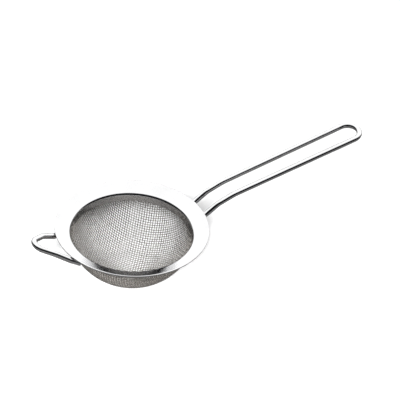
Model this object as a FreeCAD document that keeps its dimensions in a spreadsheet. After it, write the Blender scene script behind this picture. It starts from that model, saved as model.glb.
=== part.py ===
# Tea strainer: a dished steel rim, a bowl of woven wire cloth held on its collar by
# a pressed-on ring, a hairpin handle of round wire and a smaller wire loop opposite,
# which rests on the far side of the cup.
# Frame: origin on the bowl's axis in the plane of the rim's outer edge, +Z up,
# handle towards +X. Millimetres.
import FreeCAD, Part
import math
import os
import Sketcher

doc = FreeCAD.newDocument("TeaStrainer")

# ---------------------------------------------------------------- driving sizes
SIZES = [
    # pressed rim
    ("rim_radius", 39.4),
    ("mouth_radius", 31.35),
    ("rim_dish", 3.5),
    ("rim_sheet", 0.6),
    ("rim_edge_round", 0.18),
    ("rim_bend_outside", 1.95),
    ("rim_bend_inside", 1.3),
    ("collar_foot_depth", 7.6),
    ("collar_foot_radius", 30.54),
    # wire cloth bowl and the ring that holds its edge
    ("cloth_thickness", 0.7),
    ("cloth_top_depth", 5.6),
    ("cloth_shoulder_depth", 8.9),
    ("bowl_depth", 31.15),
    ("bowl_side_radius", 20.0),
    ("bowl_cap_radius", 34.0),
    ("ring_foot_depth", 7.2),
    ("ring_wall", 0.6),
    ("ring_round", 0.2),
    # round wire of the handle and of the rest loop
    ("handle_wire_dia", 3.0),
    ("loop_wire_dia", 3.0),
    ("weld_gap", 0.2),
    # handle: three bends in each leg, then the hairpin
    ("handle_start", 34.6),
    ("handle_exit", 41.0),
    ("handle_knee", 47.5),
    ("handle_knee_height", 2.6),
    ("handle_flat", 57.0),
    ("handle_flat_height", 5.9),
    ("handle_reach", 138.6),
    ("handle_tip_height", 20.6),
    ("handle_root_half_gap", 5.75),
    ("handle_tip_half_gap", 6.6),
    # rest loop
    ("loop_start", 34.0),
    ("loop_start_half", 12.5),
    ("loop_exit", 38.6),
    ("loop_exit_half", 10.2),
    ("loop_knee", 46.0),
    ("loop_knee_half", 7.4),
    ("loop_knee_height", 2.1),
    ("loop_reach", 53.0),
    ("loop_tip_half", 3.1),
    ("loop_tip_height", 4.6),
    ("loop_turn_degrees", -2.5),
    # weld beads between the wires and the underside of the rim
    ("bead_half_length", 2.6),
    ("bead_half_width", 1.9),
    ("bead_half_height", 0.62),
    ("bead_radius_on_rim", 37.4),
]

sheet = doc.addObject("Spreadsheet::Sheet", "Sizes")
for row, (alias, value) in enumerate(SIZES, start=1):
    sheet.set("A%d" % row, alias.replace("_", " "))
    sheet.set("B%d" % row, str(value))
    sheet.setAlias("B%d" % row, alias)
doc.recompute()


class Size:
    """A length read from the sheet, with the expression that keeps it bound."""

    def __init__(self, value, text):
        self.value = value
        self.text = text

    def __add__(self, other):
        return Size(self.value + other.value, "(%s + %s)" % (self.text, other.text))

    def __sub__(self, other):
        return Size(self.value - other.value, "(%s - %s)" % (self.text, other.text))

    def __mul__(self, other):
        return Size(self.value * other.value, "(%s * %s)" % (self.text, other.text))

    def __truediv__(self, other):
        return Size(self.value / other.value, "(%s / %s)" % (self.text, other.text))


def size(alias):
    return Size(float(sheet.get(alias)), "Sizes." + alias)


def number(alias):
    return float(sheet.get(alias))


# ---------------------------------------------------------------- helpers
def origin_plane(body, role):
    for feature in body.Origin.OriginFeatures:
        if feature.Role == role:
            return feature
    raise RuntimeError("no origin feature " + role)


def new_body(label):
    body = doc.addObject("PartDesign::Body", label)
    body.Label = label
    return body


def new_sketch(body, name):
    sketch = body.newObject("Sketcher::SketchObject", name)
    sketch.AttachmentSupport = [(origin_plane(body, "XZ_Plane"), "")]
    sketch.MapMode = "FlatFace"
    return sketch


def bind(sketch, index, name, amount):
    """Name a dimension of the sketch and tie it to the sheet."""
    sketch.renameConstraint(index, name)
    sketch.setExpression("Constraints." + name, amount.text)


def place_point(sketch, geo, end, name, radius, depth):
    """Hold a sketch point at a radius from the axis and a depth below the rim plane."""
    if radius is None:
        sketch.addConstraint(Sketcher.Constraint("PointOnObject", geo, end, -2))
    else:
        at = sketch.addConstraint(
            Sketcher.Constraint("DistanceX", -1, 1, geo, end, radius.value))
        bind(sketch, at, name + "_radius", radius)
    if depth is None:
        sketch.addConstraint(Sketcher.Constraint("PointOnObject", geo, end, -1))
    else:
        at = sketch.addConstraint(
            Sketcher.Constraint("DistanceY", geo, end, -1, 1, depth.value))
        bind(sketch, at, name + "_depth", depth)


def rounded_profile(sketch, corners):
    """Closed outline through named corners (name, radius, depth, rounding)."""
    flat = []
    for name, radius, depth, rounding in corners:
        x = 0.0 if radius is None else radius.value
        z = 0.0 if depth is None else -depth.value
        flat.append(FreeCAD.Vector(x, z, 0))
    count = len(corners)
    ends = []
    for i in range(count):
        here = flat[i]
        before = (flat[i - 1] - here).normalize()
        after = (flat[(i + 1) % count] - here).normalize()
        rounding = corners[i][3]
        if rounding is None:
            ends.append((here, here, None))
            continue
        half = before.getAngle(after) / 2.0
        reach = rounding.value / math.tan(half)
        middle = here + (before + after).normalize() * (rounding.value / math.sin(half))
        ends.append((here + before * reach, here + after * reach, middle))
    lines = []
    for i in range(count):
        start = ends[i][1]
        stop = ends[(i + 1) % count][0]
        lines.append(sketch.addGeometry(Part.LineSegment(start, stop), False))
    for i, (name, radius, depth, rounding) in enumerate(corners):
        line_in = lines[i - 1]
        line_out = lines[i]
        if rounding is None:
            sketch.addConstraint(Sketcher.Constraint("Coincident", line_in, 2, line_out, 1))
            place_point(sketch, line_out, 1, name, radius, depth)
            continue
        first, last, middle = ends[i]
        chord = (first + last) * 0.5 - middle
        crest = middle + chord.normalize() * rounding.value
        arc = sketch.addGeometry(Part.Arc(first, crest, last), False)
        if sketch.getPoint(arc, 1).distanceToPoint(first) < 1e-6:
            head, tail = 1, 2
        else:
            head, tail = 2, 1
        sketch.addConstraint(Sketcher.Constraint("Tangent", line_in, 2, arc, head))
        sketch.addConstraint(Sketcher.Constraint("Tangent", arc, tail, line_out, 1))
        at = sketch.addConstraint(Sketcher.Constraint("Radius", arc, rounding.value))
        bind(sketch, at, name + "_round", rounding)
        corner = sketch.addGeometry(Part.Point(flat[i]), True)
        sketch.addConstraint(Sketcher.Constraint("PointOnObject", corner, 1, line_in))
        sketch.addConstraint(Sketcher.Constraint("PointOnObject", corner, 1, line_out))
        place_point(sketch, corner, 1, name, radius, depth)


def revolve(body, sketch):
    turn = body.newObject("PartDesign::Revolution", body.Label + "_turn")
    turn.Profile = sketch
    turn.ReferenceAxis = (sketch, ["V_Axis"])
    turn.Angle = 360.0
    sketch.Visibility = False
    return turn


def bent_path(points, radii):
    """Straight runs joined by tangent arcs, as a length of wire is bent."""
    edges = []
    at = points[0]
    for i in range(1, len(points) - 1):
        here = points[i]
        back = (points[i - 1] - here).normalize()
        ahead = (points[i + 1] - here).normalize()
        half = back.getAngle(ahead) / 2.0
        reach = radii[i - 1] / math.tan(half)
        centre = here + (back + ahead).normalize() * (radii[i - 1] / math.sin(half))
        first = here + back * reach
        last = here + ahead * reach
        crest = centre + (here - centre).normalize() * radii[i - 1]
        edges.append(Part.LineSegment(at, first).toShape())
        edges.append(Part.Arc(first, crest, last).toShape())
        at = last
    edges.append(Part.LineSegment(at, points[-1]).toShape())
    return Part.Wire(edges)


def round_wire(label, points, radii, diameter_alias):
    """A solid round wire swept along its bent path."""
    path = doc.addObject("Part::Feature", label + "_path")
    path.Shape = bent_path(points, radii)
    section = doc.addObject("Part::Circle", label + "_section")
    section.setExpression("Radius", "Sizes.%s / 2" % diameter_alias)
    along = (points[1] - points[0]).normalize()
    section.Placement = FreeCAD.Placement(
        points[0], FreeCAD.Rotation(FreeCAD.Vector(0, 0, 1), along))
    sweep = doc.addObject("Part::Sweep", label)
    sweep.Label = label
    sweep.Sections = [section]
    names = ["Edge%d" % (i + 1) for i in range(len(path.Shape.Edges))]
    sweep.Spine = (path, names)
    sweep.Solid = True
    sweep.Frenet = False
    return sweep


# ---------------------------------------------------------------- pressed rim
# One pressing of steel sheet: a dished ring, polished, whose inner edge is turned
# down into a collar that narrows a little downward and takes the wire cloth outside.
one = Size(1.0, "1.0")
sheet_rise = size("rim_dish") / (size("rim_radius") - size("mouth_radius"))
slope = number("rim_dish") / (number("rim_radius") - number("mouth_radius"))
sheet_drop = size("rim_sheet") / Size(math.cos(math.atan(slope)), "cos(atan(%s))" % sheet_rise.text)
taper = ((size("mouth_radius") - size("collar_foot_radius"))
         / (size("collar_foot_depth") - size("rim_dish")))
taper_cos = Size(math.cos(math.atan(taper.value)), "cos(atan(%s))" % taper.text)
sheet_across = size("rim_sheet") / taper_cos
cloth_across = size("cloth_thickness") / taper_cos
ring_across = size("ring_wall") / taper_cos


def collar_face(depth):
    """Radius of the collar's inner face at a depth below the rim plane."""
    return size("mouth_radius") - taper * (depth - size("rim_dish"))


def collar_back(depth):
    """Radius of the collar's outer face, where the cloth lies."""
    return collar_face(depth) + sheet_across


def cloth_back(depth):
    """Radius of the outer side of the cloth's skirt, where the ring lies."""
    return collar_back(depth) + cloth_across


under_bend = (sheet_across - taper * sheet_drop) / (one - taper * sheet_rise)

rim = new_body("rim_flange")
rim_sketch = new_sketch(rim, "rim_section")
rounded_profile(rim_sketch, [
    ("mouth", size("mouth_radius"), size("rim_dish"), size("rim_bend_outside")),
    ("edge_top", size("rim_radius"), None, size("rim_edge_round")),
    ("edge_foot", size("rim_radius"), sheet_drop, size("rim_edge_round")),
    ("under_bend", size("mouth_radius") + under_bend,
     size("rim_dish") + sheet_drop - sheet_rise * under_bend, size("rim_bend_inside")),
    ("collar_out", collar_back(size("collar_foot_depth")), size("collar_foot_depth"), None),
    ("collar_in", size("collar_foot_radius"), size("collar_foot_depth"), None),
])
revolve(rim, rim_sketch)

# ---------------------------------------------------------------- wire cloth bowl
# The cloth is one deep-drawn disc of plain-woven wire. Here it is a closed shell
# as thick as the two crossing wires, with a skirt that lies round the collar.
cloth = new_body("mesh_bowl")
cloth_sketch = new_sketch(cloth, "cloth_section")


def dome_arcs(shoulder_radius, thinner):
    """Side arc and crown arc of the bowl, tangent to each other, from the shoulder down."""
    shoulder = FreeCAD.Vector(shoulder_radius, -number("cloth_shoulder_depth"), 0)
    side = number("bowl_side_radius")
    cap = number("bowl_cap_radius")
    crown_centre = FreeCAD.Vector(0, cap - number("bowl_depth"), 0)
    reach = crown_centre.distanceToPoint(shoulder)
    gap = cap - side
    along = (reach ** 2 + gap ** 2 - side ** 2) / (2 * reach)
    across = math.sqrt(gap ** 2 - along ** 2)
    ahead = (shoulder - crown_centre).normalize()
    left = FreeCAD.Vector(-ahead.y, ahead.x, 0)
    side_centre = crown_centre + ahead * along - left * across
    if side_centre.x < 0:
        side_centre = crown_centre + ahead * along + left * across
    away = (side_centre - crown_centre).normalize()
    join = side_centre + away * (side - thinner)
    return shoulder, side_centre, crown_centre, join


def arc_between(centre, radius, start, stop):
    """Arc about a centre, anticlockwise from start to stop."""
    circle = Part.Circle(centre, FreeCAD.Vector(0, 0, 1), radius)
    return Part.ArcOfCircle(circle, circle.parameter(start), circle.parameter(stop))


thick = number("cloth_thickness")
side_r = number("bowl_side_radius")
cap_r = number("bowl_cap_radius")
shoulder_out = cloth_back(size("cloth_shoulder_depth"))
lip_out = cloth_back(size("cloth_top_depth"))
lip_in = collar_back(size("cloth_top_depth"))
shoulder, side_c, crown_c, join_out = dome_arcs(shoulder_out.value, 0.0)
join_in = dome_arcs(shoulder_out.value, thick)[3]
bottom_out = FreeCAD.Vector(0, -number("bowl_depth"), 0)
bottom_in = FreeCAD.Vector(0, -number("bowl_depth") + thick, 0)
top = -number("cloth_top_depth")
top_out = FreeCAD.Vector(lip_out.value, top, 0)
top_in = FreeCAD.Vector(lip_in.value, top, 0)
down = (shoulder - top_out).normalize()
lead = top_in - side_c
fall = -lead.dot(down) + math.sqrt(lead.dot(down) ** 2 - lead.dot(lead) + (side_r - thick) ** 2)
inner_start = top_in + down * fall

cap_out = cloth_sketch.addGeometry(arc_between(crown_c, cap_r, bottom_out, join_out))
side_out = cloth_sketch.addGeometry(arc_between(side_c, side_r, join_out, shoulder))
skirt_o = cloth_sketch.addGeometry(Part.LineSegment(shoulder, top_out))
lip = cloth_sketch.addGeometry(Part.LineSegment(top_out, top_in))
skirt_i = cloth_sketch.addGeometry(Part.LineSegment(top_in, inner_start))
side_in = cloth_sketch.addGeometry(arc_between(side_c, side_r - thick, join_in, inner_start))
cap_in = cloth_sketch.addGeometry(arc_between(crown_c, cap_r - thick, bottom_in, join_in))
crown = cloth_sketch.addGeometry(Part.LineSegment(bottom_in, bottom_out))
for first, first_end, second, second_end in (
        (side_out, 2, skirt_o, 1), (skirt_o, 2, lip, 1), (lip, 2, skirt_i, 1),
        (skirt_i, 2, side_in, 2), (cap_in, 1, crown, 1), (crown, 2, cap_out, 1)):
    cloth_sketch.addConstraint(
        Sketcher.Constraint("Coincident", first, first_end, second, second_end))
cloth_sketch.addConstraint(Sketcher.Constraint("Tangent", cap_out, 2, side_out, 1))
cloth_sketch.addConstraint(Sketcher.Constraint("Tangent", cap_in, 2, side_in, 1))
cloth_sketch.addConstraint(Sketcher.Constraint("Coincident", side_in, 3, side_out, 3))
cloth_sketch.addConstraint(Sketcher.Constraint("PointOnObject", cap_out, 3, -2))
cloth_sketch.addConstraint(Sketcher.Constraint("Coincident", cap_in, 3, cap_out, 3))
cloth_sketch.addConstraint(Sketcher.Constraint("Parallel", skirt_i, skirt_o))
place_point(cloth_sketch, crown, 2, "bottom", None, size("bowl_depth"))
place_point(cloth_sketch, crown, 1, "bottom_inside", None,
            size("bowl_depth") - size("cloth_thickness"))
place_point(cloth_sketch, side_out, 2, "shoulder", shoulder_out,
            size("cloth_shoulder_depth"))
place_point(cloth_sketch, lip, 1, "lip_outside", lip_out, size("cloth_top_depth"))
place_point(cloth_sketch, lip, 2, "lip_inside", lip_in, size("cloth_top_depth"))
at = cloth_sketch.addConstraint(Sketcher.Constraint("Radius", side_out, side_r))
bind(cloth_sketch, at, "side_round", size("bowl_side_radius"))
at = cloth_sketch.addConstraint(Sketcher.Constraint("Radius", cap_out, cap_r))
bind(cloth_sketch, at, "crown_round", size("bowl_cap_radius"))
revolve(cloth, cloth_sketch)

# ---------------------------------------------------------------- clamp ring
# A plain rolled band pushed up round the cloth's skirt. The collar spreads upward,
# so the band wedges tight there and grips the cloth all round.
ring = new_body("mesh_clamp_ring")
ring_sketch = new_sketch(ring, "ring_section")
ring_top = cloth_back(size("cloth_top_depth"))
ring_foot = cloth_back(size("ring_foot_depth"))
rounded_profile(ring_sketch, [
    ("top_in", ring_top, size("cloth_top_depth"), None),
    ("top_out", ring_top + ring_across, size("cloth_top_depth"), size("ring_round")),
    ("foot_out", ring_foot + ring_across, size("ring_foot_depth"), size("ring_round")),
    ("foot_in", ring_foot, size("ring_foot_depth"), None),
])
revolve(ring, ring_sketch)


# ---------------------------------------------------------------- bent wires
def under_rim(x, y, wire_alias):
    """A point of a wire's centre line that runs just under the dished rim."""
    radius = math.hypot(x, y)
    tilt = math.atan(slope)
    surface = (radius - number("mouth_radius")) * slope - number("rim_dish") - sheet_drop.value
    below = (number(wire_alias) / 2 + number("weld_gap")) / math.cos(tilt)
    return FreeCAD.Vector(x, y, surface - below)


# Handle: one length of round wire, doubled back on itself. Both legs run up the
# underside of the rim, kick upward past its edge, then ease off to the hairpin end.
def handle_half_gap(x):
    along = (x - number("handle_start")) / (number("handle_reach") - number("handle_start"))
    spread = number("handle_tip_half_gap") - number("handle_root_half_gap")
    return number("handle_root_half_gap") + spread * along


def handle_leg(side):
    exit_x = number("handle_exit")
    knee_x = number("handle_knee")
    flat_x = number("handle_flat")
    start_x = number("handle_start")
    return [
        under_rim(start_x, side * handle_half_gap(start_x), "handle_wire_dia"),
        under_rim(exit_x, side * handle_half_gap(exit_x), "handle_wire_dia"),
        FreeCAD.Vector(knee_x, side * handle_half_gap(knee_x), number("handle_knee_height")),
        FreeCAD.Vector(flat_x, side * handle_half_gap(flat_x), number("handle_flat_height")),
        FreeCAD.Vector(number("handle_reach"), side * number("handle_tip_half_gap"),
                       number("handle_tip_height")),
    ]


left_leg = handle_leg(1.0)
right_leg = handle_leg(-1.0)
handle_points = left_leg + right_leg[::-1]
handle = round_wire("handle_wire", handle_points,
                    [9.0, 12.0, 30.0, 6.5, 6.5, 30.0, 12.0, 9.0], "handle_wire_dia")


# Rest loop: the same idea, shorter and tapering to a round nose. It hooks over the
# far lip of the cup, and it is welded on a little out of line with the handle.
def loop_leg(side):
    swing = FreeCAD.Rotation(FreeCAD.Vector(0, 0, 1), number("loop_turn_degrees"))
    leg = [
        under_rim(-number("loop_start"), side * number("loop_start_half"), "loop_wire_dia"),
        under_rim(-number("loop_exit"), side * number("loop_exit_half"), "loop_wire_dia"),
        FreeCAD.Vector(-number("loop_knee"), side * number("loop_knee_half"),
                       number("loop_knee_height")),
        FreeCAD.Vector(-number("loop_reach"), side * number("loop_tip_half"),
                       number("loop_tip_height")),
    ]
    return [swing.multVec(point) for point in leg]


loop_left = loop_leg(1.0)
loop_right = loop_leg(-1.0)
loop_points = loop_left + loop_right[::-1]
loop = round_wire("rest_loop_wire", loop_points,
                  [5.0, 6.0, 5.1, 5.1, 6.0, 5.0], "loop_wire_dia")
doc.recompute()


# ---------------------------------------------------------------- weld beads
# Each wire end is welded to the underside of the rim. A bead fills the narrow gap
# between sheet and wire and hugs the wire on both sides.
def weld_bead(label, start, stop, wire, wire_alias):
    """A low oval bead on the line of the wire, trimmed by the wire and the rim."""
    run = stop - start
    low, high = 0.0, 1.0
    for step in range(40):
        share = (low + high) / 2
        spot = start + run * share
        if math.hypot(spot.x, spot.y) < number("bead_radius_on_rim"):
            low = share
        else:
            high = share
    outward = FreeCAD.Vector(spot.x, spot.y, 0).normalize()
    tilt = math.atan(slope)
    normal = FreeCAD.Vector(0, 0, 1) * math.cos(tilt) - outward * math.sin(tilt)
    centre = spot + normal * (number(wire_alias) / 2 + number("weld_gap") / 2)
    turn = FreeCAD.Rotation(run, FreeCAD.Vector(0, 0, 0), normal, "ZXY")
    blob = doc.addObject("Part::Ellipsoid", label + "_blob")
    blob.setExpression("Radius1", "Sizes.bead_half_height")
    blob.setExpression("Radius2", "Sizes.bead_half_length")
    blob.setExpression("Radius3", "Sizes.bead_half_width")
    blob.Placement = FreeCAD.Placement(centre, turn)
    off_wire = doc.addObject("Part::Cut", label + "_off_wire")
    off_wire.Base = blob
    off_wire.Tool = wire
    bead = doc.addObject("Part::Cut", label)
    bead.Label = label
    bead.Base = off_wire
    bead.Tool = rim
    return bead


handle_weld_left = weld_bead("handle_weld_left", left_leg[0], left_leg[1],
                             handle, "handle_wire_dia")
handle_weld_right = weld_bead("handle_weld_right", right_leg[0], right_leg[1],
                              handle, "handle_wire_dia")
loop_weld_left = weld_bead("loop_weld_left", loop_left[0], loop_left[1],
                           loop, "loop_wire_dia")
loop_weld_right = weld_bead("loop_weld_right", loop_right[0], loop_right[1],
                            loop, "loop_wire_dia")
doc.recompute()

# ---------------------------------------------------------------- checks and files
PIECES = [rim, cloth, ring, handle, loop,
          handle_weld_left, handle_weld_right, loop_weld_left, loop_weld_right]

for thing in doc.Objects:
    if "Invalid" in thing.State or "Error" in thing.State:
        raise RuntimeError("%s failed to build: %s" % (thing.Label, thing.State))
for piece in PIECES:
    shape = piece.Shape
    if shape.isNull() or not shape.isValid():
        raise RuntimeError("%s has no valid shape" % piece.Label)
    if len(shape.Solids) != 1:
        raise RuntimeError("%s has %d solids" % (piece.Label, len(shape.Solids)))

os.makedirs("parts", exist_ok=True)
for piece in PIECES:
    piece.Shape.exportStep(os.path.join("parts", piece.Label + ".step"))
    box = piece.Shape.BoundBox
    print("%-20s volume %9.2f mm3  z %.2f .. %.2f" % (
        piece.Label, piece.Shape.Volume, box.ZMin, box.ZMax))
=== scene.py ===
import math

import bmesh
import bpy
from mathutils import Matrix, Vector


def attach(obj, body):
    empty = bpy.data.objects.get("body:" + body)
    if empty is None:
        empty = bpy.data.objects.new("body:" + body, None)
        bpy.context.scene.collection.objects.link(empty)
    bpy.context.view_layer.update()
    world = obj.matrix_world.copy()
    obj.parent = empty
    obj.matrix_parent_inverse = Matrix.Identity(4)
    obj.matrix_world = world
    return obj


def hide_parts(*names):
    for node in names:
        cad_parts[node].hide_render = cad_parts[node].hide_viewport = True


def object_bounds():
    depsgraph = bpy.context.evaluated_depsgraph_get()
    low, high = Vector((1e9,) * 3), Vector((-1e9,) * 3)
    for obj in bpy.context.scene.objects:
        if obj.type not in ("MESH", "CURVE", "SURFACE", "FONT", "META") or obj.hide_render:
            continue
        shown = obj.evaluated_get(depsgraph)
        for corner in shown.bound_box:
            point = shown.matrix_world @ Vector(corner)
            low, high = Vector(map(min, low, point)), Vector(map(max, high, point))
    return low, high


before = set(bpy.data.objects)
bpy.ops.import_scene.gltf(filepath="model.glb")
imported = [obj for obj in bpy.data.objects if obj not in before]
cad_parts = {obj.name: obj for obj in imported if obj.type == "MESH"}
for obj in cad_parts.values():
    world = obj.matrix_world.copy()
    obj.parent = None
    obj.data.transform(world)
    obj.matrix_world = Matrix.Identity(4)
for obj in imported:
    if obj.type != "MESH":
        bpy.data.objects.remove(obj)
cad_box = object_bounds()

# The dished rim
# One pressing of stainless sheet, 79 mm across, buffed to a mirror on a wheel.
# Its inner edge is turned down into a collar that narrows a little downward.
MM = 0.001
RIM_RADIUS = 39.4
MOUTH_RADIUS = 31.35
RIM_DISH = 3.5
RIM_SHEET = 0.6
COLLAR_FOOT = -7.6
FOOT_RADIUS = 30.54
RIM_RISE = RIM_DISH / (RIM_RADIUS - MOUTH_RADIUS)
RIM_DROP = RIM_SHEET * math.hypot(1.0, RIM_RISE)
TAPER = (MOUTH_RADIUS - FOOT_RADIUS) / (-RIM_DISH - COLLAR_FOOT)
SKEW = math.hypot(1.0, TAPER)


def collar_back(z):
    """Radius of the collar's outer face at a height."""
    return MOUTH_RADIUS + TAPER * (z + RIM_DISH) + RIM_SHEET * SKEW


def rounded_outline(corners, arc_steps):
    """Points (radius, height) of a closed outline whose corners (r, z, rounding) are rounded."""
    outline = []
    count = len(corners)
    for i, (r, z, rounding) in enumerate(corners):
        here = Vector((r, z))
        to_last = (Vector(corners[i - 1][:2]) - here).normalized()
        to_next = (Vector(corners[(i + 1) % count][:2]) - here).normalized()
        half = to_last.angle(to_next) / 2
        centre = here + (to_last + to_next).normalized() * (rounding / math.sin(half))
        start = here + to_last * (rounding / math.tan(half)) - centre
        sweep = start.angle_signed(here + to_next * (rounding / math.tan(half)) - centre)
        for step in range(arc_steps + 1):
            arm = start.copy()
            arm.rotate(Matrix.Rotation(-sweep * step / arc_steps, 2))
            outline.append(centre + arm)
    return outline


def with_even_runs(outline, longest):
    """The same outline with its long straight runs divided, so that no quad is long."""
    points = []
    for i, point in enumerate(outline):
        after = outline[(i + 1) % len(outline)]
        pieces = max(1, math.ceil((after - point).length / longest))
        for k in range(pieces):
            points.append(point.lerp(after, k / pieces))
    return points


def link(name, mesh):
    piece = bpy.data.objects.new(name, mesh)
    bpy.context.scene.collection.objects.link(piece)
    return piece


def turned(name, outline, around):
    """A closed ring: the outline carried once round the bowl's axis."""
    shape = bmesh.new()
    rings = []
    for k in range(around):
        angle = 2 * math.pi * k / around
        rings.append([
            shape.verts.new((p.x * math.cos(angle) * MM, p.x * math.sin(angle) * MM, p.y * MM))
            for p in outline])
    for k, ring in enumerate(rings):
        beside = rings[(k + 1) % around]
        for i in range(len(ring)):
            j = (i + 1) % len(ring)
            shape.faces.new((ring[i], beside[i], beside[j], ring[j]))
    bmesh.ops.recalc_face_normals(shape, faces=shape.faces)
    for face in shape.faces:
        face.smooth = True
    mesh = bpy.data.meshes.new(name)
    shape.to_mesh(mesh)
    shape.free()
    return link(name, mesh)


def new_group(name, inputs, outputs):
    """A shader node group with named sockets, and its input and output nodes."""
    group = bpy.data.node_groups.new(name, "ShaderNodeTree")
    for label, kind, value in inputs:
        socket = group.interface.new_socket(label, in_out="INPUT", socket_type=kind)
        if value is not None:
            socket.default_value = value
    for label, kind in outputs:
        group.interface.new_socket(label, in_out="OUTPUT", socket_type=kind)
    return group, group.nodes.new("NodeGroupInput"), group.nodes.new("NodeGroupOutput")


def add(tree, kind, inputs=(), **settings):
    """One node, with its settings and the values or links of its inputs."""
    node = tree.nodes.new(kind)
    for key, value in settings.items():
        setattr(node, key, value)
    for key, value in dict(inputs).items():
        if isinstance(value, bpy.types.NodeSocket):
            tree.links.new(value, node.inputs[key])
        else:
            node.inputs[key].default_value = value
    return node


# Buffed steel: hair-fine lines left by the wheel, a faint greasy haze in cloudy
# patches and a slight unevenness of the sheet itself.
buffed, buffed_in, buffed_out = new_group(
    "buffed_steel",
    [("Tint", "NodeSocketColor", (0.8, 0.8, 0.8, 1.0)),
     ("Haze tint", "NodeSocketColor", (0.7, 0.7, 0.7, 1.0)),
     ("Lines", "NodeSocketVector", None),
     ("Polish", "NodeSocketFloat", 0.06),
     ("Haze", "NodeSocketFloat", 0.1)],
    [("Color", "NodeSocketColor"), ("Roughness", "NodeSocketFloat"),
     ("Height", "NodeSocketFloat")])
place = add(buffed, "ShaderNodeTexCoord")
cloud = add(buffed, "ShaderNodeTexNoise",
            {"Vector": place.outputs["Object"], "Scale": 70.0, "Detail": 5.0, "Roughness": 0.6})
cloud_mask = add(buffed, "ShaderNodeMapRange",
                 {"Value": cloud.outputs["Fac"], "From Min": 0.45, "From Max": 0.75})
hairs = add(buffed, "ShaderNodeTexNoise",
            {"Vector": buffed_in.outputs["Lines"], "Scale": 1.0, "Detail": 3.0, "Roughness": 0.65})
hair_mask = add(buffed, "ShaderNodeMapRange",
                {"Value": hairs.outputs["Fac"], "From Min": 0.5, "From Max": 0.8})
hazed = add(buffed, "ShaderNodeMix",
            {"Factor": cloud_mask.outputs["Result"]}, data_type="RGBA")
buffed.links.new(buffed_in.outputs["Tint"], hazed.inputs[6])
buffed.links.new(buffed_in.outputs["Haze tint"], hazed.inputs[7])
haze_rough = add(buffed, "ShaderNodeMath",
                 {0: cloud_mask.outputs["Result"], 1: buffed_in.outputs["Haze"],
                  2: buffed_in.outputs["Polish"]}, operation="MULTIPLY_ADD")
hair_rough = add(buffed, "ShaderNodeMath",
                 {0: hair_mask.outputs["Result"], 1: 0.05, 2: haze_rough.outputs[0]},
                 operation="MULTIPLY_ADD")
buffed.links.new(hazed.outputs[2], buffed_out.inputs["Color"])
buffed.links.new(hair_rough.outputs[0], buffed_out.inputs["Roughness"])
buffed.links.new(hairs.outputs["Fac"], buffed_out.inputs["Height"])


def steel(name, tint, haze_tint, polish, haze, bump, lines):
    """A metal material on the buffed-steel group. lines makes the vector its hair lines follow."""
    material = bpy.data.materials.new(name)
    material.use_nodes = True
    tree = material.node_tree
    surface = tree.nodes["Principled BSDF"]
    surface.inputs["Metallic"].default_value = 1.0
    finish = add(tree, "ShaderNodeGroup", node_tree=buffed)
    finish.inputs["Tint"].default_value = tint
    finish.inputs["Haze tint"].default_value = haze_tint
    finish.inputs["Polish"].default_value = polish
    finish.inputs["Haze"].default_value = haze
    tree.links.new(lines(tree), finish.inputs["Lines"])
    relief = add(tree, "ShaderNodeBump",
                 {"Strength": bump, "Distance": 0.00002, "Height": finish.outputs["Height"]})
    tree.links.new(finish.outputs["Color"], surface.inputs["Base Color"])
    tree.links.new(finish.outputs["Roughness"], surface.inputs["Roughness"])
    tree.links.new(relief.outputs["Normal"], surface.inputs["Normal"])
    return material


def lines_round_the_axis(tree):
    """Radius and height, finely divided, so that the lines run round the rim."""
    where = add(tree, "ShaderNodeTexCoord")
    split = add(tree, "ShaderNodeSeparateXYZ", {0: where.outputs["Object"]})
    flat = add(tree, "ShaderNodeCombineXYZ", {0: split.outputs[0], 1: split.outputs[1]})
    radius = add(tree, "ShaderNodeVectorMath", {0: flat.outputs[0]}, operation="LENGTH")
    fine = add(tree, "ShaderNodeMath", {0: radius.outputs["Value"], 1: 9000.0},
               operation="MULTIPLY")
    high = add(tree, "ShaderNodeMath", {0: split.outputs[2], 1: 9000.0}, operation="MULTIPLY")
    slow = add(tree, "ShaderNodeVectorMath",
               {0: flat.outputs[0], 1: (60.0, 60.0, 0.0)}, operation="MULTIPLY")
    lead = add(tree, "ShaderNodeCombineXYZ", {0: fine.outputs[0], 1: high.outputs[0]})
    return add(tree, "ShaderNodeVectorMath",
               {0: lead.outputs[0], 1: slow.outputs[0]}, operation="ADD").outputs[0]


bend = (RIM_SHEET * SKEW - TAPER * RIM_DROP) / (1.0 - TAPER * RIM_RISE)
rim_outline = rounded_outline([
    (MOUTH_RADIUS, -RIM_DISH, 1.95),
    (RIM_RADIUS, 0.0, 0.18),
    (RIM_RADIUS, -RIM_DROP, 0.18),
    (MOUTH_RADIUS + bend, -RIM_DISH - RIM_DROP + bend * RIM_RISE, 1.3),
    (collar_back(COLLAR_FOOT), COLLAR_FOOT, 0.12),
    (FOOT_RADIUS, COLLAR_FOOT, 0.12),
], 8)
rim = turned("dished_rim", with_even_runs(rim_outline, 0.8), 288)
rim.data.materials.append(steel(
    "buffed_rim_steel", (0.64, 0.64, 0.645, 1.0), (0.6, 0.6, 0.6, 1.0),
    0.05, 0.05, 0.25, lines_round_the_axis))
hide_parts("rim_flange")
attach(rim, "root")

# The clamp ring
# A plain rolled band of the same steel, pushed up round the cloth from below. Its colour is
# painted darker and browner than the rim's: painted shade for its place deep inside the collar,
# and a painted reflection of the brown cloth below it.
# The collar spreads upward, so the band wedges tight and grips the cloth's edge.
RING_TOP = -5.6
RING_FOOT = -7.2
CLOTH = 0.7
RING_WALL = 0.6


def cloth_back(z):
    """Radius of the outer side of the cloth where it lies round the collar."""
    return collar_back(z) + CLOTH * SKEW


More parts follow.
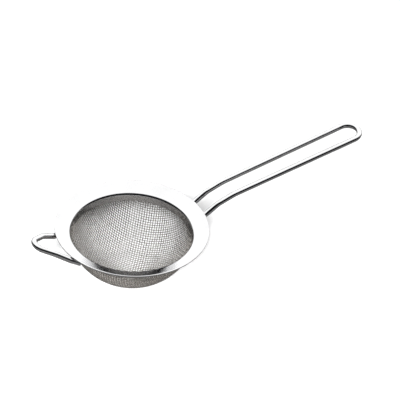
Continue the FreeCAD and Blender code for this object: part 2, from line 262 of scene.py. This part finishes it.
ring_outline = rounded_outline([
    (cloth_back(RING_TOP), RING_TOP, 0.05),
    (cloth_back(RING_TOP) + RING_WALL * SKEW, RING_TOP, 0.2),
    (cloth_back(RING_FOOT) + RING_WALL * SKEW, RING_FOOT, 0.2),
    (cloth_back(RING_FOOT), RING_FOOT, 0.05),
], 6)
ring = turned("clamp_ring", with_even_runs(ring_outline, 0.6), 256)
# The darker, browner tint and haze tint here are painted shade and a painted reflection of the
# cloth, not a different steel; only the rougher rolled finish is the band's own.
ring.data.materials.append(steel(
    "ring_steel_painted_shade", (0.56, 0.54, 0.52, 1.0), (0.5, 0.47, 0.45, 1.0),
    0.16, 0.12, 0.5, lines_round_the_axis))
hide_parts("mesh_clamp_ring")
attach(ring, "root")

# The wire cloth bowl
# Plain-woven stainless wire, 20 to the inch, pressed over a die into a deep bowl.
# The wires keep their spacing along themselves, so the square openings shear into
# diamonds up the wall. The weave lies at half a right angle to the handle.
BOWL_DEPTH = 31.15
SIDE_RADIUS = 20.0
CROWN_RADIUS = 34.0
SHOULDER = -8.9
WARP_PITCH = 1.33
WEFT_PITCH = 1.247
WARP_WAY = -47.0
WEFT_WAY = 50.0
WIRE = 0.34
CRIMP = 0.165
middle = CLOTH / 2


def bowl_centres():
    """Centres (radius, height) of the side arc and of the crown arc of the bowl."""
    crown = Vector((0.0, CROWN_RADIUS - BOWL_DEPTH))
    shoulder = Vector((cloth_back(SHOULDER), SHOULDER))
    reach = (shoulder - crown).length
    gap = CROWN_RADIUS - SIDE_RADIUS
    along = (reach ** 2 + gap ** 2 - SIDE_RADIUS ** 2) / (2 * reach)
    across = math.sqrt(gap ** 2 - along ** 2)
    ahead = (shoulder - crown) / reach
    left = Vector((-ahead.y, ahead.x))
    side = crown + ahead * along - left * across
    if side.x < 0:
        side = crown + ahead * along + left * across
    return side, crown


side_centre, crown_centre = bowl_centres()
join_direction = (side_centre - crown_centre).normalized()


def off_the_bowl(point):
    """How far a point stands outside the middle of the cloth, and the way out there."""
    r = math.hypot(point.x, point.y)
    if r < 1e-9:
        return -point.z - BOWL_DEPTH + middle, Vector((0.0, 0.0, -1.0))
    if point.z > SHOULDER:
        flat = Vector((1.0, -TAPER)) / SKEW
        gap = (r - collar_back(point.z)) / SKEW - middle
    else:
        from_crown = Vector((r, point.z)) - crown_centre
        on_side = from_crown.normalized().y > join_direction.y
        centre = side_centre if on_side else crown_centre
        radius = (SIDE_RADIUS if on_side else CROWN_RADIUS) - middle
        arm = Vector((r, point.z)) - centre
        flat = arm.normalized()
        gap = arm.length - radius
    return gap, Vector((flat.x * point.x / r, flat.x * point.y / r, flat.y))


def next_crossing(beside, behind, guess):
    """The crossing one pitch from the two before it, on the bowl."""
    point = guess
    for _ in range(8):
        gap, out = off_the_bowl(point)
        a = point - beside
        b = point - behind
        rows = Matrix((a.normalized(), b.normalized(), out))
        if abs(rows.determinant()) < 1e-4:
            return None
        error = Vector((a.length - WARP_PITCH, b.length - WEFT_PITCH, gap))
        move = rows.inverted() @ error
        point = point - move
        if move.length < 1e-6:
            break
    return point


def along_the_axis(way, pitch):
    """Crossings one pitch apart up the wall of the bowl from its lowest point."""
    turn = math.radians(way)
    direction = Vector((math.cos(turn), math.sin(turn), 0.0))
    points = [Vector((0.0, 0.0, -BOWL_DEPTH + middle))]
    while points[-1].z < RING_TOP:
        point = points[-1] + direction * pitch
        if len(points) > 1:
            point = points[-1] * 2 - points[-2]
        for _ in range(12):
            gap, out = off_the_bowl(point)
            point = point - out * gap
            step = point - points[-1]
            point = points[-1] + step.normalized() * pitch
        points.append(point)
    return points


def drape():
    """Crossings of the cloth by (warp, weft) number, laid outward from the lowest point."""
    crossings = {}
    for side, flip in ((1, 0.0), (-1, 180.0)):
        for k, point in enumerate(along_the_axis(WARP_WAY + flip, WARP_PITCH)):
            crossings[(side * k, 0)] = point
        for k, point in enumerate(along_the_axis(WEFT_WAY + flip, WEFT_PITCH)):
            crossings[(0, side * k)] = point
    for sx in (1, -1):
        for sy in (1, -1):
            for i in range(1, 70):
                for j in range(1, 70):
                    beside = crossings.get((sx * (i - 1), sy * j))
                    behind = crossings.get((sx * i, sy * (j - 1)))
                    last = crossings.get((sx * (i - 1), sy * (j - 1)))
                    if beside is None or behind is None or last is None:
                        break
                    if min(beside.z, behind.z) > RING_TOP:
                        break
                    point = next_crossing(beside, behind, beside + behind - last)
                    if point is None or point.z > RING_TOP + 2 * WARP_PITCH:
                        break
                    crossings[(sx * i, sy * j)] = point
    return crossings


net = drape()


def wire_runs(across):
    """Runs of crossings, one for each wire, along one way of the cloth."""
    runs = {}
    for (i, j) in sorted(net, key=lambda k: (k[1 - across], k[across])):
        key = (i, j)[1 - across]
        here = (i, j)[across]
        strands = runs.setdefault(key, [])
        if not strands or strands[-1][-1] != here - 1:
            strands.append([])
        strands[-1].append(here)
    return [(key, strand) for key, strands in sorted(runs.items()) for strand in strands
            if len(strand) > 2]


def cloth_lines(name, across):
    """The wires of one way as chains of points with how far each stands off the middle."""
    points = []
    edges = []
    lifts = []
    flip = 1.0 if across == 0 else -1.0
    for key, strand in wire_runs(across):
        nodes = [net[(here, key) if across == 0 else (key, here)] for here in strand]
        chain = []
        for n, (here, node) in enumerate(zip(strand, nodes)):
            before = nodes[n - 1] if n else node
            after = nodes[n + 1] if n + 1 < len(nodes) else node
            _, out = off_the_bowl(node)
            over = flip * (1.0 if (here + key) % 2 == 0 else -1.0)
            for share, neighbour, crown in ((0.25, before, 0.7), (0.0, node, 1.0),
                                            (0.25, after, 0.7)):
                spot = node.lerp(neighbour, share)
                if spot.z <= RING_TOP and (share == 0.0 or neighbour is not node):
                    chain.append((spot, out * over * crown))
        for n, (spot, lift) in enumerate(chain):
            if n and (spot - chain[n - 1][0]).length < WEFT_PITCH:
                edges.append((len(points) - 1, len(points)))
            points.append(spot * MM)
            lifts.append(lift)
    mesh = bpy.data.meshes.new(name)
    mesh.from_pydata(points, edges, [])
    lay = mesh.attributes.new("lift", "FLOAT_VECTOR", "POINT")
    for k, lift in enumerate(lifts):
        lay.data[k].vector = lift
    return link(name, mesh)


def new_shape_tree(name, inputs):
    """A Geometry Nodes tree that takes and gives a mesh, with named inputs."""
    tree = bpy.data.node_groups.new(name, "GeometryNodeTree")
    tree.interface.new_socket("Geometry", in_out="INPUT", socket_type="NodeSocketGeometry")
    for label, kind, value in inputs:
        socket = tree.interface.new_socket(label, in_out="INPUT", socket_type=kind)
        if value is not None:
            socket.default_value = value
    tree.interface.new_socket("Geometry", in_out="OUTPUT", socket_type="NodeSocketGeometry")
    return tree, tree.nodes.new("NodeGroupInput"), tree.nodes.new("NodeGroupOutput")


# Each chain is pushed in and out by the crimp, then given its round section.
weave, weave_in, weave_out = new_shape_tree("woven_wire", [
    ("Wire radius", "NodeSocketFloat", 0.000135),
    ("Crimp", "NodeSocketFloat", 0.00012),
    ("Sides", "NodeSocketInt", 6),
    ("Material", "NodeSocketMaterial", None)])
lift = add(weave, "GeometryNodeInputNamedAttribute", {"Name": "lift"}, data_type="FLOAT_VECTOR")
crimped = add(weave, "ShaderNodeVectorMath",
              {0: lift.outputs["Attribute"], "Scale": weave_in.outputs["Crimp"]},
              operation="SCALE")
moved = add(weave, "GeometryNodeSetPosition",
            {"Geometry": weave_in.outputs["Geometry"], "Offset": crimped.outputs["Vector"]})
strands = add(weave, "GeometryNodeMeshToCurve", {"Mesh": moved.outputs["Geometry"]})
section = add(weave, "GeometryNodeCurvePrimitiveCircle",
              {"Resolution": weave_in.outputs["Sides"],
               "Radius": weave_in.outputs["Wire radius"]})
drawn = add(weave, "GeometryNodeCurveToMesh",
            {"Curve": strands.outputs["Curve"], "Profile Curve": section.outputs["Curve"],
             "Fill Caps": True})
smooth = add(weave, "GeometryNodeSetShadeSmooth", {"Geometry": drawn.outputs["Mesh"]})
real = add(weave, "GeometryNodeRealizeInstances", {"Geometry": smooth.outputs["Geometry"]})
coated = add(weave, "GeometryNodeSetMaterial",
             {"Geometry": real.outputs["Geometry"], "Material": weave_in.outputs["Material"]})
weave.links.new(coated.outputs["Geometry"], weave_out.inputs["Geometry"])


def grown(source, tree, values):
    """The source shape after a Geometry Nodes tree, as a plain mesh of its own."""
    grow = source.modifiers.new("grow", "NODES")
    grow.node_group = tree
    for item in tree.interface.items_tree:
        if item.in_out == "INPUT" and item.name in values:
            grow[item.identifier] = values[item.name]
    bpy.context.view_layer.update()
    ready = source.evaluated_get(bpy.context.evaluated_depsgraph_get())
    mesh = bpy.data.meshes.new_from_object(ready)
    name = source.name
    source.modifiers.remove(grow)
    rough = source.data
    source.data = mesh
    bpy.data.meshes.remove(rough)
    mesh.name = name
    return source


def lines_along_nothing(tree):
    """Tiny drawn-wire marks with no one direction, for wires a third of a millimetre thick."""
    where = add(tree, "ShaderNodeTexCoord")
    return add(tree, "ShaderNodeVectorMath",
               {0: where.outputs["Object"], 1: (2500.0, 2500.0, 2500.0)},
               operation="MULTIPLY").outputs[0]


cloth_steel = steel("woven_wire_steel", (0.585, 0.555, 0.52, 1.0), (0.5, 0.47, 0.44, 1.0),
                    0.24, 0.12, 0.3, lines_along_nothing)
for name, across in (("cloth_warp_wires", 0), ("cloth_weft_wires", 1)):
    wires = grown(cloth_lines(name, across), weave,
                  {"Wire radius": WIRE / 2 * MM, "Crimp": CRIMP * MM, "Sides": 6,
                   "Material": cloth_steel})
    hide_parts("mesh_bowl")
    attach(wires, "root")

# The handle
# One length of 3 mm stainless wire, bent back on itself into a hairpin, polished,
# with both ends sheared off square and welded under the rim.
HANDLE_WIRE = 3.0
WELD_GAP = 0.2
SNUG = 0.498


def under_rim(x, y, wire):
    """Where a wire's centre line runs when it lies just under the dished rim."""
    surface = (math.hypot(x, y) - MOUTH_RADIUS) * RIM_RISE - RIM_DISH - RIM_DROP
    return Vector((x, y, surface - (wire / 2 + WELD_GAP) * math.hypot(1.0, RIM_RISE)))


def bent_line(corners, bends, step):
    """Points along straight runs joined by tangent bends, as a wire is bent on pins."""
    line = [corners[0].copy()]
    for i in range(1, len(corners) - 1):
        here = corners[i]
        back = (corners[i - 1] - here).normalized()
        ahead = (corners[i + 1] - here).normalized()
        half = back.angle(ahead) / 2
        bend = bends[i - 1]
        centre = here + (back + ahead).normalized() * (bend / math.sin(half))
        first = here + back * (bend / math.tan(half))
        last = here + ahead * (bend / math.tan(half))
        arm_a = first - centre
        arm_b = last - centre
        turn = arm_a.angle(arm_b)
        count = max(4, math.ceil(turn * bend / step))
        for k in range(count + 1):
            share = k / count
            arm = (arm_a * math.sin((1 - share) * turn) + arm_b * math.sin(share * turn))
            line.append(centre + arm / math.sin(turn))
    line.append(corners[-1].copy())
    even = [line[0]]
    for after in line[1:]:
        start = even[-1]
        pieces = max(1, math.ceil((after - start).length / (step * 4)))
        for k in range(1, pieces + 1):
            even.append(start.lerp(after, k / pieces))
    return even


def wire_line(name, line):
    """The centre line as a chain, with the slight rounding of its two sheared ends."""
    start = (line[1] - line[0]).normalized()
    stop = (line[-2] - line[-1]).normalized()
    burr = 0.22
    points = [line[0], line[0] + start * 0.07, line[0] + start * burr]
    points += line[1:-1]
    points += [line[-1] + stop * burr, line[-1] + stop * 0.07, line[-1]]
    girths = [0.88, 0.965, 1.0] + [1.0] * (len(line) - 2) + [1.0, 0.965, 0.88]
    lengths = [0.0]
    for k in range(1, len(points)):
        lengths.append(lengths[-1] + (points[k] - points[k - 1]).length)
    mesh = bpy.data.meshes.new(name)
    mesh.from_pydata([p * MM for p in points], [(k, k + 1) for k in range(len(points) - 1)], [])
    girth = mesh.attributes.new("girth", "FLOAT", "POINT")
    run = mesh.attributes.new("run", "FLOAT", "POINT")
    for k, value in enumerate(girths):
        girth.data[k].value = value
        run.data[k].value = lengths[k] * MM
    return link(name, mesh)


# A round bar drawn along a chain of points. It leaves the distance along the wire
# and the way round it on the surface, for the marks of drawing and bending.
bar, bar_in, bar_out = new_shape_tree("bent_bar", [
    ("Bar radius", "NodeSocketFloat", 0.0015),
    ("Sides", "NodeSocketInt", 40),
    ("Material", "NodeSocketMaterial", None)])
bar_line = add(bar, "GeometryNodeMeshToCurve", {"Mesh": bar_in.outputs["Geometry"]})
bar_girth = add(bar, "GeometryNodeInputNamedAttribute", {"Name": "girth"}, data_type="FLOAT")
bar_sized = add(bar, "GeometryNodeSetCurveRadius",
                {"Curve": bar_line.outputs["Curve"], "Radius": bar_girth.outputs["Attribute"]})
bar_section = add(bar, "GeometryNodeCurvePrimitiveCircle",
                  {"Resolution": bar_in.outputs["Sides"], "Radius": bar_in.outputs["Bar radius"]})
around = add(bar, "GeometryNodeSplineParameter")
marked = add(bar, "GeometryNodeStoreNamedAttribute",
             {"Geometry": bar_section.outputs["Curve"], "Name": "turn",
              "Value": around.outputs["Factor"]}, data_type="FLOAT", domain="POINT")
bar_skin = add(bar, "GeometryNodeCurveToMesh",
               {"Curve": bar_sized.outputs["Curve"], "Profile Curve": marked.outputs["Geometry"],
                "Scale": bar_girth.outputs["Attribute"], "Fill Caps": True})
bar_smooth = add(bar, "GeometryNodeSetShadeSmooth", {"Geometry": bar_skin.outputs["Mesh"]})
bar_real = add(bar, "GeometryNodeRealizeInstances", {"Geometry": bar_smooth.outputs["Geometry"]})
bar_coat = add(bar, "GeometryNodeSetMaterial",
               {"Geometry": bar_real.outputs["Geometry"],
                "Material": bar_in.outputs["Material"]})
bar.links.new(bar_coat.outputs["Geometry"], bar_out.inputs["Geometry"])


def lines_along_the_wire(tree):
    """Distance along the wire, slow, and the way round it, fine, for draw marks."""
    run = add(tree, "ShaderNodeAttribute", attribute_name="run")
    turn = add(tree, "ShaderNodeAttribute", attribute_name="turn")
    slow = add(tree, "ShaderNodeMath", {0: run.outputs["Fac"], 1: 350.0}, operation="MULTIPLY")
    circle = add(tree, "ShaderNodeMath", {0: turn.outputs["Fac"], 1: 2 * math.pi},
                 operation="MULTIPLY")
    cosine = add(tree, "ShaderNodeMath", {0: circle.outputs[0]}, operation="COSINE")
    sine = add(tree, "ShaderNodeMath", {0: circle.outputs[0]}, operation="SINE")
    wide = add(tree, "ShaderNodeMath", {0: cosine.outputs[0], 1: 14.0}, operation="MULTIPLY")
    high = add(tree, "ShaderNodeMath", {0: sine.outputs[0], 1: 14.0}, operation="MULTIPLY")
    return add(tree, "ShaderNodeCombineXYZ",
               {0: slow.outputs[0], 1: wide.outputs[0], 2: high.outputs[0]}).outputs[0]


wire_steel = steel("polished_wire_steel", (0.64, 0.64, 0.645, 1.0), (0.58, 0.58, 0.58, 1.0),
                   0.02, 0.03, 0.2, lines_along_the_wire)


HANDLE_START = 34.6
HANDLE_END = 138.6
HALF_GAP_START = 5.75
HALF_GAP_END = 6.6


def handle_corners(side):
    """Corners of one leg's centre line, from its weld out to the hairpin."""
    def half_gap(x):
        share = (x - HANDLE_START) / (HANDLE_END - HANDLE_START)
        return side * (HALF_GAP_START + (HALF_GAP_END - HALF_GAP_START) * share)
    return [under_rim(HANDLE_START, half_gap(HANDLE_START), HANDLE_WIRE),
            under_rim(41.0, half_gap(41.0), HANDLE_WIRE),
            Vector((47.5, half_gap(47.5), 2.6)),
            Vector((57.0, half_gap(57.0), 5.9)),
            Vector((HANDLE_END, half_gap(HANDLE_END), 20.6))]


handle_line = bent_line(handle_corners(1.0) + handle_corners(-1.0)[::-1],
                        [9.0, 12.0, 30.0, 6.5, 6.5, 30.0, 12.0, 9.0], 0.5)
handle = grown(wire_line("handle_hairpin", handle_line), bar,
               {"Bar radius": HANDLE_WIRE * SNUG * MM, "Sides": 40, "Material": wire_steel})
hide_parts("handle_wire")
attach(handle, "root")

# The rest loop
# A shorter length of the same wire, bent to a blunt nose. It lies over the far lip
# of the cup, and was welded on a little out of line with the handle.
LOOP_WIRE = 3.0
LOOP_SWING = math.radians(-2.5)


def loop_corners(side):
    """Corners of one leg of the loop, from its weld out to the nose."""
    swing = Matrix.Rotation(LOOP_SWING, 3, "Z")
    return [swing @ corner for corner in (
        under_rim(-34.0, side * 12.5, LOOP_WIRE),
        under_rim(-38.6, side * 10.2, LOOP_WIRE),
        Vector((-46.0, side * 7.4, 2.1)),
        Vector((-53.0, side * 3.1, 4.6)))]


loop_line = bent_line(loop_corners(1.0) + loop_corners(-1.0)[::-1],
                      [5.0, 6.0, 5.1, 5.1, 6.0, 5.0], 0.4)
loop = grown(wire_line("rest_loop", loop_line), bar,
             {"Bar radius": LOOP_WIRE * SNUG * MM, "Sides": 40, "Material": wire_steel})
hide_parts("rest_loop_wire")
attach(loop, "root")

# The weld beads
# Four small beads of weld metal under the rim, one at each wire end, brushed clean
# but still straw and blue where the heat has tinted the steel.
bead_steel = steel("brushed_weld_steel", (0.62, 0.58, 0.53, 1.0), (0.42, 0.4, 0.44, 1.0),
                   0.3, 0.2, 0.8, lines_along_nothing)
for node in ("handle_weld_left", "handle_weld_right", "loop_weld_left", "loop_weld_right"):
    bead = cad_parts[node]
    bead.data.materials.clear()
    bead.data.materials.append(bead_steel)

# Floor, light and camera
# A plain pale floor under the bowl, which reflections show darker than the eye sees
# it, a white sky, and darkness low down on the viewer's side, which polished steel
# shows as thin black lines. One soft lamp lights the floor only.
CAMERA_ELEVATION = math.radians(37.069)
CAMERA_AZIMUTH = math.radians(-124.197)
CAMERA_ROLL = math.radians(5.522)
CAMERA_DISTANCE = 0.660498
FOCAL = 1300.0
ORIGIN_AT = (132.245, 225.610)
FRAME_SIZE = 400.0
FLOOR_SEEN = (0.95, 0.95, 0.95, 1.0)
FLOOR_MIRRORED = (0.11, 0.11, 0.11, 1.0)
SKY_WHITE = (1.6, 1.6, 1.6, 1.0)
SKY_DARK = (0.02, 0.02, 0.022, 1.0)
SKY_SEEN = (1.0, 1.0, 1.0, 1.0)
DARK_LEAN = -0.94
DARK_STARTS = 0.68
DARK_FULL = 0.55
LAMP_RISE = 0.8
LAMP_AWAY = 1.2
LAMP_WIDTH = 0.4
LAMP_POWER = 46.0

floor_shape = bmesh.new()
bmesh.ops.create_grid(floor_shape, x_segments=1, y_segments=1, size=3.0)
floor_mesh = bpy.data.meshes.new("floor")
floor_shape.to_mesh(floor_mesh)
floor_shape.free()
floor = link("floor", floor_mesh)
floor.location.z = cad_box[0][2] - 0.00005
floor_paint = bpy.data.materials.new("pale_floor")
floor_paint.use_nodes = True
floor_tree = floor_paint.node_tree
floor_surface = floor_tree.nodes["Principled BSDF"]
floor_surface.inputs["Roughness"].default_value = 0.9
floor_seen = add(floor_tree, "ShaderNodeLightPath")
floor_tone = add(floor_tree, "ShaderNodeMix", {"Factor": floor_seen.outputs["Is Camera Ray"]},
                 data_type="RGBA")
floor_tone.inputs[6].default_value = FLOOR_MIRRORED
floor_tone.inputs[7].default_value = FLOOR_SEEN
floor_tree.links.new(floor_tone.outputs[2], floor_surface.inputs["Base Color"])
floor_mesh.materials.append(floor_paint)

world = bpy.data.worlds.new("white_tent")
bpy.context.scene.world = world
world.use_nodes = True
world.cycles_visibility.diffuse = False
sky = world.node_tree
background = sky.nodes["Background"]
viewer_side = Vector((math.cos(CAMERA_AZIMUTH), math.sin(CAMERA_AZIMUTH), 0.0))
ray = add(sky, "ShaderNodeTexCoord")
toward = add(sky, "ShaderNodeVectorMath", {0: ray.outputs["Generated"], 1: viewer_side},
             operation="DOT_PRODUCT")
height = add(sky, "ShaderNodeSeparateXYZ", {0: ray.outputs["Generated"]})
above = add(sky, "ShaderNodeMath", {0: toward.outputs["Value"], 1: DARK_LEAN,
                                    2: height.outputs[2]}, operation="MULTIPLY_ADD")
dark = add(sky, "ShaderNodeMapRange",
           {"Value": above.outputs[0], "From Min": DARK_STARTS, "From Max": DARK_FULL},
           interpolation_type="SMOOTHSTEP")
tone = add(sky, "ShaderNodeMix", {"Factor": dark.outputs[0]}, data_type="RGBA")
tone.inputs[6].default_value = SKY_WHITE
tone.inputs[7].default_value = SKY_DARK
seen = add(sky, "ShaderNodeLightPath")
plain = add(sky, "ShaderNodeMix", {"Factor": seen.outputs["Is Camera Ray"]}, data_type="RGBA")
sky.links.new(tone.outputs[2], plain.inputs[6])
plain.inputs[7].default_value = SKY_SEEN
sky.links.new(plain.outputs[2], background.inputs["Color"])
background.inputs["Strength"].default_value = 1.0

lamp_data = bpy.data.lights.new("front_softbox", "AREA")
lamp_data.shape = "DISK"
lamp_data.size = LAMP_WIDTH
lamp_data.energy = LAMP_POWER
lamp = bpy.data.objects.new("front_softbox", lamp_data)
lamp_way = Vector((viewer_side.x, viewer_side.y, LAMP_RISE)).normalized()
lamp.location = lamp_way * LAMP_AWAY
lamp.rotation_euler = lamp_way.to_track_quat("Z", "Y").to_euler()
lamp.visible_glossy = False
lamp.visible_camera = False
bpy.context.scene.collection.objects.link(lamp)

away = Vector((math.cos(CAMERA_ELEVATION) * math.cos(CAMERA_AZIMUTH),
               math.cos(CAMERA_ELEVATION) * math.sin(CAMERA_AZIMUTH),
               math.sin(CAMERA_ELEVATION)))
level = Vector((-math.sin(CAMERA_AZIMUTH), math.cos(CAMERA_AZIMUTH), 0.0))
upright = away.cross(level)
right = level * math.cos(CAMERA_ROLL) + upright * math.sin(CAMERA_ROLL)
up = upright * math.cos(CAMERA_ROLL) - level * math.sin(CAMERA_ROLL)
shift_right = (ORIGIN_AT[0] - FRAME_SIZE / 2) * CAMERA_DISTANCE / FOCAL
shift_up = -(ORIGIN_AT[1] - FRAME_SIZE / 2) * CAMERA_DISTANCE / FOCAL
camera_data = bpy.data.cameras.new("camera")
camera_data.sensor_width = 36.0
camera_data.lens = FOCAL * 36.0 / FRAME_SIZE
camera_data.clip_end = 20.0
camera = bpy.data.objects.new("camera", camera_data)
camera.matrix_world = Matrix.Translation(
    away * CAMERA_DISTANCE - right * shift_right - up * shift_up) @ Matrix(
    (right, up, away)).transposed().to_4x4()
bpy.context.scene.collection.objects.link(camera)
bpy.context.scene.camera = camera
bpy.context.scene.view_settings.view_transform = "Standard"
